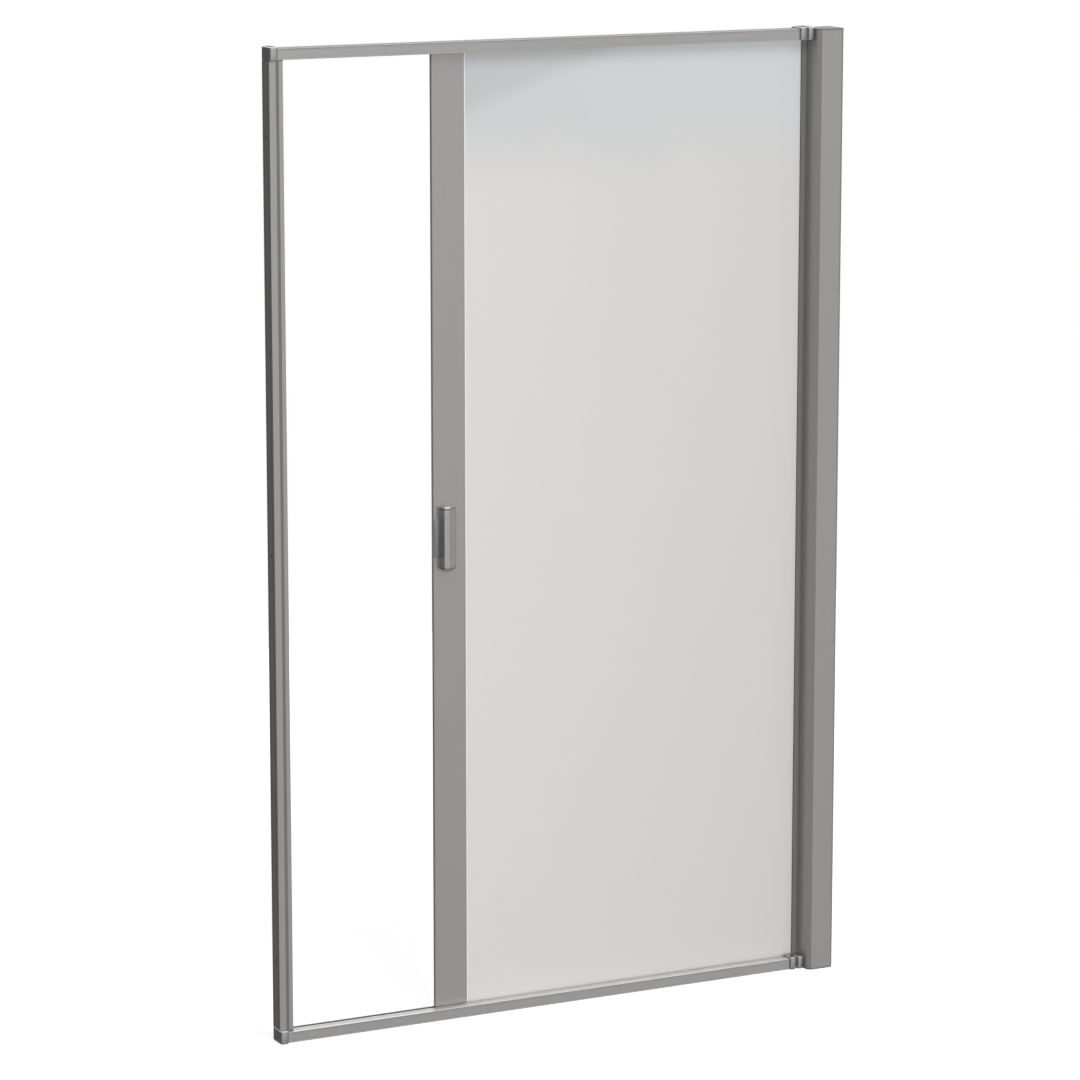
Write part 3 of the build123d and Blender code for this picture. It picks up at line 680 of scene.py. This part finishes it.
class MakeRoll(bpy.types.Operator):
    """Make the turns of film on the roller as one spiral strip."""

    bl_idname = "shower_door.roll"
    bl_label = "Wound film"

    def execute(self, context):
        sizes = context.scene.door_sizes
        low, high = corners_of("wound_film")
        core = corners_of("roller_tube")
        centre = (low + high)[:2] / 2
        outer = (high[0] - low[0]) / 2
        inner = (core[1][0] - core[0][0]) / 2 + sizes.film_play
        thickness = sizes.film_pitch - sizes.film_play
        turns = (outer - inner - thickness) / sizes.film_pitch
        per_turn = 56
        winding = np.linspace(0, turns, int(turns * per_turn))
        angle = math.pi / 2 - winding * TURN
        ray = np.stack([np.cos(angle), np.sin(angle)], axis=1)
        rim = outer - winding * sizes.film_pitch
        outside = centre + ray * rim[:, None]
        inside = centre + ray * (rim - thickness)[:, None]
        section = np.concatenate([outside[::-1], inside])
        roll = loft("wound_film_visual", stack_up(section, (low[UP], high[UP])))
        roller_end = [1.0, 0.5]
        layer = roll.data.uv_layers.new(name="film")
        layer.data.foreach_set("uv", np.tile(roller_end, len(roll.data.loops)))
        dress(roll, "roller", "pearl_film", "pearl_film", "wound_film")
        return {"FINISHED"}


class MakeCover(bpy.types.Operator):
    """Make the cassette's front cover: bevelled front, two sides and the strip that snaps in."""

    bl_idname = "shower_door.cover"
    bl_label = "Cassette cover"

    def execute(self, context):
        sizes = context.scene.door_sizes
        low, high = corners_of("cassette_cover")
        left, right = low[0], high[0]
        front, back = low[1], high[1]
        wall, bevel = sizes.cover_wall, sizes.cover_bevel
        mitre = wall * (math.sqrt(2) - 1)
        split = front + bevel + sizes.cover_leg
        inner = right - wall
        outline = [
            (left, back),
            (left, front + bevel),
            (left + bevel, front),
            (right - bevel, front),
            (right, front + bevel),
            (right, split),
            (inner - sizes.lap_play, split),
            (inner - sizes.lap_play, split + sizes.lap_length),
            (inner - sizes.lap_thickness, split + sizes.lap_length),
            (inner - sizes.lap_thickness, split - sizes.lap_root),
            (inner, split - sizes.lap_root),
            (inner, front + bevel + mitre),
            (right - bevel - mitre, front + wall),
            (left + bevel + mitre, front + wall),
            (left + wall, front + bevel + mitre),
            (left + wall, back),
        ]
        radii = np.full(len(outline), sizes.crisp_round)
        radii[1:5] = sizes.cover_round
        radii[6] = sizes.lap_play / 4
        cover = extrusion("cassette_cover_visual", outline, radii, low[UP], high[UP])
        dress(cover, "door_frame", "silver_aluminium", "silver_aluminium", "cassette_cover")
        return {"FINISHED"}


class MakeHandle(bpy.types.Operator):
    """Make the cast grip with its soft edges, sloping ends and dark strips of painted shade by its ends, and
    the plate under it, darkened with painted shade.
    """

    bl_idname = "shower_door.handle"
    bl_label = "Handle"

    def execute(self, context):
        self.make_grip(context.scene.door_sizes)
        self.make_plate(context.scene.door_sizes)
        return {"FINISHED"}

    def make_grip(self, sizes):
        """Carry the grip's outline up its height, drawn in at both ends but not at its back.

        Each end slopes in, with both edges of the slope turned over softly. Next to it runs a
        groove, which a dark strip of painted shade fills to half its depth, for the shadow line there.
        """
        low, high = corners_of("handle_grip")
        corners = np.array([
            (low[0], high[1]),
            (low[0], low[1]),
            (low[0] + sizes.grip_face, low[1]),
            (high[0], high[1] - sizes.grip_shoulder),
            (high[0], high[1]),
        ])
        slope, depth = sizes.grip_chamfer, sizes.shadow_groove_depth
        soft = slope / 10
        shut = slope + 2 * soft
        opened = shut + sizes.shadow_line_width
        profile = np.array([
            (0.0, slope + soft), (soft, slope - soft / 2), (2 * soft, slope - 1.5 * soft),
            (slope, soft), (slope + soft, 0.0),
            (shut, 0.0), (shut, depth), (opened, depth), (opened, 0.0),
        ])
        rise, draw = profile.T
        heights = np.concatenate([low[UP] + rise, high[UP] - rise[::-1]])
        insets = np.concatenate([draw, draw[::-1]])
        grip = loft("handle_grip_visual", self.grip_rings(sizes, corners, heights, insets))
        dress(grip, "bar", "handle_metal", "handle_metal", "handle_grip")
        # Painted shade: dark strips in the grooves by the grip's ends.
        filling = np.full(2, depth / 2)
        lower, upper = low[UP] + np.array([shut, opened]), high[UP] - np.array([opened, shut])
        for name, edges in (("bottom", lower), ("top", upper)):
            shadow_line = loft(f"handle_{name}_seam", self.grip_rings(sizes, corners, edges, filling))
            dress(shadow_line, "bar", "dark_cap", "dark_cap")

    def grip_rings(self, sizes, corners, heights, insets):
        """Draw the grip's outline in by an inset at each height, except at its back."""
        drawn_sides = np.array([1.0, 1.0, 1.0, 1.0, 0.0])
        radii = np.array([0.1, 1.0, 1.0, 0.8, 0.1]) * sizes.grip_round
        rings = []
        for height, inset in zip(heights, insets):
            points, _ = rounded_loop(inset_corners(corners, drawn_sides * inset), radii, steps=5)
            rings.append(place_on_axis(points, height, UP))
        return np.stack(rings)

    def make_plate(self, sizes):
        """Carry a rounded rectangle through the plate's thickness, its front rim turned over."""
        low, high = corners_of("handle_plate")
        corners = rectangle((low[UP], low[0]), (high[UP], high[0]))
        rim_rings = 5
        quarter = np.linspace(0, math.pi / 2, rim_rings)
        depth = low[1] + sizes.plate_edge * (1 - np.cos(quarter))
        inset = sizes.plate_edge * (1 - np.sin(quarter))
        rings = []
        for place, draw in zip([*depth, high[1]], [*inset, 0.0]):
            narrowed = inset_corners(corners, np.full(len(corners), draw))
            points, _ = rounded_loop(narrowed, sizes.plate_round - draw, steps=8)
            rings.append(place_on_axis(points, place, 1))
        plate = loft("handle_plate_visual", np.stack(rings))
        # The plate takes the darker colour, painted shade under the grip.
        dress(plate, "bar", "handle_plate", "handle_metal", "handle_plate")


class MakeSpring(bpy.types.Operator):
    """Make the torsion spring as one close-wound wire."""

    bl_idname = "shower_door.spring"
    bl_label = "Torsion spring"

    def execute(self, context):
        sizes = context.scene.door_sizes
        low, high = corners_of("torsion_spring")
        centre = (low + high) / 2
        wire = sizes.spring_wire / 2
        coil = (high[0] - low[0]) / 2 - wire
        rise = high[UP] - low[UP] - 2 * wire
        turns = rise / sizes.spring_pitch
        per_turn, around = 22, 8
        share = np.linspace(0, 1, int(turns * per_turn))[:, None]
        angle = share * turns * TURN
        across = np.linspace(0, TURN, around, endpoint=False)[None, :]
        reach = coil + wire * np.cos(across)
        height = low[UP] + wire + share * rise + wire * np.sin(across)
        flat = [centre[0] + reach * np.cos(angle), centre[1] + reach * np.sin(angle)]
        spring = loft("torsion_spring_visual", np.stack([*flat, height], axis=-1)[:, ::-1])
        dress(spring, "door_frame", "spring_steel", "spring_steel", "torsion_spring")
        return {"FINISHED"}


class MakeSeals(bpy.types.Operator):
    """Make the pile strips and the wipers as rows of tufts, and a dark strip of painted shade in the strike
    jamb's groove.
    """

    bl_idname = "shower_door.seals"
    bl_label = "Seals"

    def execute(self, context):
        sizes = context.scene.door_sizes
        for side in ("front", "rear"):
            node = f"mouth_wiper_{side}"
            low, high = corners_of(node)
            lip = corners_of(f"mouth_lip_{side}")[0][0]
            root = np.array([(lip, low[1]), (lip, high[1])])
            tip = np.array([(low[0], low[1]), (low[0], high[1])])
            rings = self.tufts(sizes, root, tip, low[UP], high[UP], UP)
            dress(loft(f"{node}_visual", rings), "door_frame", "pile_seal", "pile_seal", node)
        for end in ("bottom", "top"):
            self.make_pile(sizes, f"{end}_track_pile")
        self.make_groove_shade(sizes)
        return {"FINISHED"}

    def make_groove_shade(self, sizes):
        """Lay a dark strip in the strike jamb's groove as painted shade, sunk a little under its front."""
        low, high = corners_of("strike_jamb")
        left = corners_of("wall_jamb")[1][0] + sizes.groove_shade_play
        front, back = low[1] + sizes.groove_shade_sink, low[1] + sizes.groove_shade_floor
        outline = rectangle((left, front), (left + sizes.groove_shade_width, back))
        strip = extrusion("strike_groove_shade", outline, sizes.crisp_round, low[UP], high[UP])
        dress(strip, "door_frame", "painted_groove_shade", "dark_cap")

    def make_pile(self, sizes, node):
        """Make the two strips of one track, whose tufts point at each other across the channel."""
        low, high = corners_of(node)
        strips = []
        for wall, facing in ((low[1], 1), (high[1], -1)):
            root = np.array([(wall, low[UP]), (wall, high[UP])])
            tip = root + np.array([facing * sizes.pile_thickness, 0.0])
            strips.append(self.tufts(sizes, root, tip, low[0], high[0], 0))
        dress(loft(f"{node}_visual", *strips), "door_frame", "pile_seal", "pile_seal", node)

    def tufts(self, sizes, root, tip, start, end, axis):
        """Carry a strip's four corners along an axis, its free edge drawn in between the tufts.

        The draw follows a cosine of the length in tufts, up to a quarter of the strip's reach, and
        the strip is also a little thinner there.
        """
        per_tuft, half_draw = 4, 0.12
        count = int((end - start) / sizes.pile_tuft)
        depth = np.linspace(start, end, per_tuft * count + 1)
        wave = np.cos(np.linspace(0, TURN * count, len(depth)))[:, None, None]
        draw = half_draw * (1 + wave)
        free = tip + (root - tip) * draw
        free = free + (tip.mean(axis=0) - tip) * draw
        fixed = np.broadcast_to(root[::-1], free.shape)
        section = np.concatenate([free, fixed], axis=1)
        first, second = section[0, 1] - section[0, 0], section[0, 2] - section[0, 1]
        if first[0] * second[1] - first[1] * second[0] < 0:
            section = section[:, ::-1]
        return place_on_axis(section, depth[:, None], axis)


class MakeScrews(bpy.types.Operator):
    """Make the screws with their cross recesses and threads."""

    bl_idname = "shower_door.screws"
    bl_label = "Screws"

    def execute(self, context):
        sizes = context.scene.door_sizes
        head, shank = sizes.head_radius, sizes.shank_radius
        for node, body, material in (
            ("jamb_screws", "door_frame", "zinc_steel"), ("handle_screws", "bar", "handle_screw")
        ):
            low, high = corners_of(node)
            middle = (low[0] + high[0]) / 2
            screws = [
                self.screw(sizes, (height, middle), high[1], low[1], 1, head, sizes.head_height)
                for height in (low[UP] + head, high[UP] - head)
            ]
            dress(loft(f"{node}_visual", *screws), body, material, material, node)
        low, high = corners_of("end_cap_screws")
        middle = (low[1] + high[1]) / 2
        length = sizes.cap_screw
        screws = [
            self.screw(sizes, (across, middle), face, tip, UP, shank, sizes.cap_head)
            for face, tip in ((low[UP], low[UP] + length), (high[UP], high[UP] - length))
            for across in (low[0] + shank, high[0] - shank)
        ]
        piece = loft("end_cap_screws_visual", *screws)
        dress(piece, "door_frame", "zinc_steel", "zinc_steel", "end_cap_screws")
        return {"FINISHED"}

    def screw(self, sizes, centre, face, tip, axis, head_radius, head_height):
        """Work out one screw as rings from its tip to the middle of its head.

        Along the shank the radius falls and rises with the cosine of the height in pitches less
        the angle, which makes a thread. The head is a quarter ellipse on a low skirt, sunk where
        it lies within either arm of the cross.
        """
        around, per_pitch, head_rings, bent = 40, 8, 14, 0.49 * math.pi
        tip_share, core_share, crest_share = 0.3, 0.88, 0.1
        under_share, skirt_share = 0.98, 0.3
        cross_reach, cross_end, cross_wall, cross_depth = 0.72, 0.1, 0.3, 0.55
        angle = np.linspace(0, TURN, around, endpoint=False)[None, :]
        threaded = abs(face - tip) - head_height
        climb = np.linspace(0, threaded, int(threaded / sizes.thread_pitch * per_pitch))[:, None]
        thread = np.cos(climb / sizes.thread_pitch * TURN - angle)
        taper = np.clip(tip_share + climb / (2 * sizes.thread_pitch), 0.0, 1.0)
        shank = sizes.shank_radius * taper * (core_share + crest_share * thread)
        bend = np.linspace(0, bent, head_rings)[:, None]
        reach = head_radius * np.cos(bend) * np.ones_like(angle)
        rise = threaded + head_height * (skirt_share + (1 - skirt_share) * np.sin(bend))
        arm = sizes.recess_width * head_radius / 2
        distance = np.minimum(np.abs(reach * np.cos(angle)), np.abs(reach * np.sin(angle)))
        within = np.clip((cross_reach * head_radius - reach) / (cross_end * head_radius), 0, 1)
        sunk = np.clip((arm - distance) / (cross_wall * arm), 0, 1) * within
        rise = rise - sunk * cross_depth * head_height
        under = np.full((1, around), under_share * head_radius)
        radius = np.concatenate([shank, under, reach])
        shoulder = np.full((1, around), threaded)
        height = np.concatenate([np.broadcast_to(climb, shank.shape), shoulder, rise])
        flat = centre + np.stack([radius * np.cos(angle), radius * np.sin(angle)], axis=-1)
        towards = 1 if face > tip else -1
        rings = place_on_axis(flat, tip + towards * height, axis)
        return rings if towards > 0 else rings[::-1]


class MakeMouldings(bpy.types.Operator):
    """Soften the edges of the blocks, caps, bearings and brackets, both tracks and strike jamb."""

    bl_idname = "shower_door.mouldings"
    bl_label = "Moulded parts"

    def execute(self, context):
        sizes = context.scene.door_sizes
        block, cap = sizes.block_round, sizes.cap_round
        groups = (
            ("door_frame", "grey_corner", block,
             ("bottom_left_corner", "top_left_corner", "bottom_right_connector", "top_right_connector")),
            ("door_frame", "dark_cap", cap,
             ("cassette_bottom_cap", "cassette_top_cap", "strike_bottom_foot", "strike_top_foot")),
            ("bar", "dark_cap", cap, ("bar_bottom_cap", "bar_top_cap")),
            ("roller", "white_nylon", cap, ("roller_bottom_plug", "roller_top_plug", "spring_anchor")),
            ("door_frame", "zinc_steel", cap,
             ("roller_bracket_bottom", "roller_bracket_top", "pivot_pin", "spring_arbor")),
        )
        for body, material, radius, nodes in groups:
            for node in nodes:
                dress(self.soften(node, radius, False), body, material, material, node)
        metal = "silver_aluminium"
        profiles = {"bottom_track": "silver_sill", "top_track": "silver_track", "strike_jamb": metal}
        for node, material in profiles.items():
            piece = self.soften(node, sizes.profile_round, True)
            dress(piece, "door_frame", material, metal, node)
        return {"FINISHED"}

    def soften(self, node, radius, profile):
        """Copy a node's merged mesh and turn its sharp edges over to a small radius.

        On a long profile only the four edges that run its whole length at its corners are turned.
        """
        mesh = frame["nodes"][node].data.copy()
        mesh.name = f"{node}_visual"
        work = bmesh.new()
        work.from_mesh(mesh)
        bmesh.ops.remove_doubles(work, verts=work.verts, dist=MERGE_DISTANCE)
        bmesh.ops.dissolve_limit(work, angle_limit=FLAT_ANGLE, verts=work.verts, edges=work.edges)
        if profile:
            self.weigh_corners(work, np.array(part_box(node)))
        work.to_mesh(mesh)
        work.free()
        mesh.polygons.foreach_set("use_smooth", np.ones(len(mesh.polygons), bool))
        mesh.set_sharp_from_angle(angle=ROUND_ANGLE)
        piece = add_object(mesh.name, mesh)
        bevel = piece.modifiers.new("soft_edges", "BEVEL")
        bevel.width = radius
        bevel.segments = 2
        bevel.limit_method = "WEIGHT" if profile else "ANGLE"
        bevel.angle_limit = SHARP_ANGLE
        bevel.harden_normals = True
        return piece

    def weigh_corners(self, work, box):
        """Give weight to the edges that lie on two sides of a box and pass half its length."""
        weights = work.edges.layers.float.new("bevel_weight_edge")
        half = (box[1] - box[0]).max() / 2
        for edge in work.edges:
            middle = np.array((edge.verts[0].co + edge.verts[1].co) / 2)
            sides = (np.abs(box - middle).min(axis=0) < BOX_DISTANCE).sum()
            edge[weights] = float(sides == 2 and edge.calc_length() > half)


class MakeStage(bpy.types.Operator):
    """Make the pale floor, the soft studio light and the camera."""

    bl_idname = "shower_door.stage"
    bl_label = "Stage"

    def execute(self, context):
        studio = context.scene.door_studio
        self.make_floor(context.scene.door_colours, studio)
        self.make_world(context.scene, studio)
        self.make_lamps()
        self.make_camera(context.scene, studio)
        context.scene.view_settings.view_transform = "Standard"
        return {"FINISHED"}

    def make_floor(self, colours, studio):
        """Lay the floor: white to the camera less the object's shadow, and clear to reflections,
        so that metal shows the same studio at every height."""
        cells = 8
        row = cells + 1
        side = np.linspace(-studio.floor_side / 2, studio.floor_side / 2, row)
        across, along = np.meshgrid(side, side)
        points = np.stack([across.ravel(), along.ravel(), np.zeros(across.size)], axis=1)
        here = (np.arange(cells)[:, None] * row + np.arange(cells)[None, :]).ravel()
        faces = np.stack([here, here + 1, here + row + 1, here + row], axis=1).tolist()
        floor = make_mesh("studio_floor", points, faces)
        material = bpy.data.materials.new("studio_floor")
        material.use_nodes = True
        nodes = Nodes(material.node_tree)
        camera, mirrored = nodes.rays()
        seen = {"Color": WHITE, "Strength": camera * studio.floor_glow}
        white = nodes.out(nodes.add("ShaderNodeEmission", None, seen))
        lit = nodes.out(nodes.add("ShaderNodeBsdfDiffuse", None, {"Color": (*colours.floor, 1.0)}))
        ground = nodes.out(nodes.add("ShaderNodeAddShader", None, {0: lit, 1: white}))
        clear = nodes.out(nodes.add("ShaderNodeBsdfTransparent"))
        mixed = nodes.add("ShaderNodeMixShader", None, {0: mirrored, 1: ground, 2: clear})
        nodes.add("ShaderNodeOutputMaterial", None, {"Surface": nodes.out(mixed)})
        floor.data.materials.append(material)

    def make_world(self, scene, studio):
        """Light the studio from every side: white to the camera, and in reflections a white ceiling,
        a softer screen in front and another behind, below a dark band, and dim walls at the sides.
        A dark flag before the rear screen shades the faces that look to the left."""
        flag_way, flag_edge = (-0.441, 0.877, -0.188), (0.86, 0.96)
        band_edge, ceiling_edge, front_rise = (-0.02, 0.06), (0.24, 0.3), 0.6
        world = bpy.data.worlds.new("studio")
        world.use_nodes = True
        scene.world = world
        nodes = Nodes(world.node_tree)
        camera, mirrored = nodes.rays()
        across, depth, height = nodes.axes("Generated")
        front, rear = (0.0 - depth).at_least(0.0), depth.at_least(0.0)
        facing = flag_way[0] * across + flag_way[1] * depth + flag_way[2] * height
        open_rear = (1.0 - facing.ramp(*flag_edge)) * (1.0 - height.ramp(*band_edge))
        reflected = (
            studio.side_level
            + front * front * (studio.front_level + front_rise * height)
            + height.ramp(*ceiling_edge) * studio.ceiling_level
            + rear * rear * open_rear * studio.rear_level
        )
        level = mirrored * reflected + (1.0 - mirrored) * studio.fill_level
        sockets = {"Color": WHITE, "Strength": camera + (1.0 - camera) * level}
        light = nodes.add("ShaderNodeBackground", None, sockets)
        nodes.add("ShaderNodeOutputWorld", None, {"Surface": nodes.out(light)})

    def make_lamps(self):
        """Hang a large soft lamp in front, one above, and one behind at the right."""
        aim = Vector((0.0, 0.0, 0.72))
        lamps = {
            "front_lamp": ((1.0, -4.4, 0.85), 1.6, 108.0),
            "top_lamp": ((0.4, -3.6, 4.6), 2.6, 90.0),
            "rear_lamp": ((1.6, 4.2, 1.2), 2.6, 140.0),
        }
        for name, (place, side, power) in lamps.items():
            lamp = bpy.data.lights.new(name, "AREA")
            lamp.size = side
            lamp.energy = power
            holder = add_object(name, lamp)
            holder.location = place
            holder.rotation_euler = (aim - Vector(place)).to_track_quat("-Z", "Y").to_euler()
            holder.visible_glossy = False

    def make_camera(self, scene, studio):
        """Stand the camera at the left of the door, looking slightly down."""
        camera = bpy.data.cameras.new("camera")
        camera.lens = studio.camera_lens
        camera.sensor_width = SENSOR_WIDTH
        holder = add_object("camera", camera)
        holder.location = studio.camera_place
        holder.rotation_euler = Euler((math.pi / 2 - studio.camera_tilt, 0.0, -studio.camera_turn))
        scene.camera = holder


OPERATORS = (
    MakeFinishes, MakeFilm, MakeRoll, MakeCover, MakeHandle, MakeSpring, MakeSeals, MakeScrews,
    MakeMouldings, MakeStage,
)


class DoorPanel(bpy.types.Panel):
    """List the steps that dress the door."""

    bl_idname = "VIEW3D_PT_shower_door"
    bl_label = "Shower Door"
    bl_space_type = "VIEW_3D"
    bl_region_type = "UI"
    bl_category = "Shower Door"

    def draw(self, context):
        for step in OPERATORS:
            self.layout.operator(step.bl_idname)


CLASSES = (DoorSizes, DoorColours, StudioSettings, *OPERATORS, DoorPanel)


def register():
    """Register the classes and hang the settings on the scene."""
    for kind in CLASSES:
        bpy.utils.register_class(kind)
    bpy.types.Scene.door_sizes = bpy.props.PointerProperty(type=DoorSizes)
    bpy.types.Scene.door_colours = bpy.props.PointerProperty(type=DoorColours)
    bpy.types.Scene.door_studio = bpy.props.PointerProperty(type=StudioSettings)


def unregister():
    """Take the settings and the classes away again."""
    del bpy.types.Scene.door_studio
    del bpy.types.Scene.door_colours
    del bpy.types.Scene.door_sizes
    for kind in reversed(CLASSES):
        bpy.utils.unregister_class(kind)


def main():
    """Dress the door step by step."""
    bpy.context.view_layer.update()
    register()
    for step in OPERATORS:
        group, action = step.bl_idname.split(".")
        getattr(getattr(bpy.ops, group), action)()


if __name__ == "__main__":
    main()
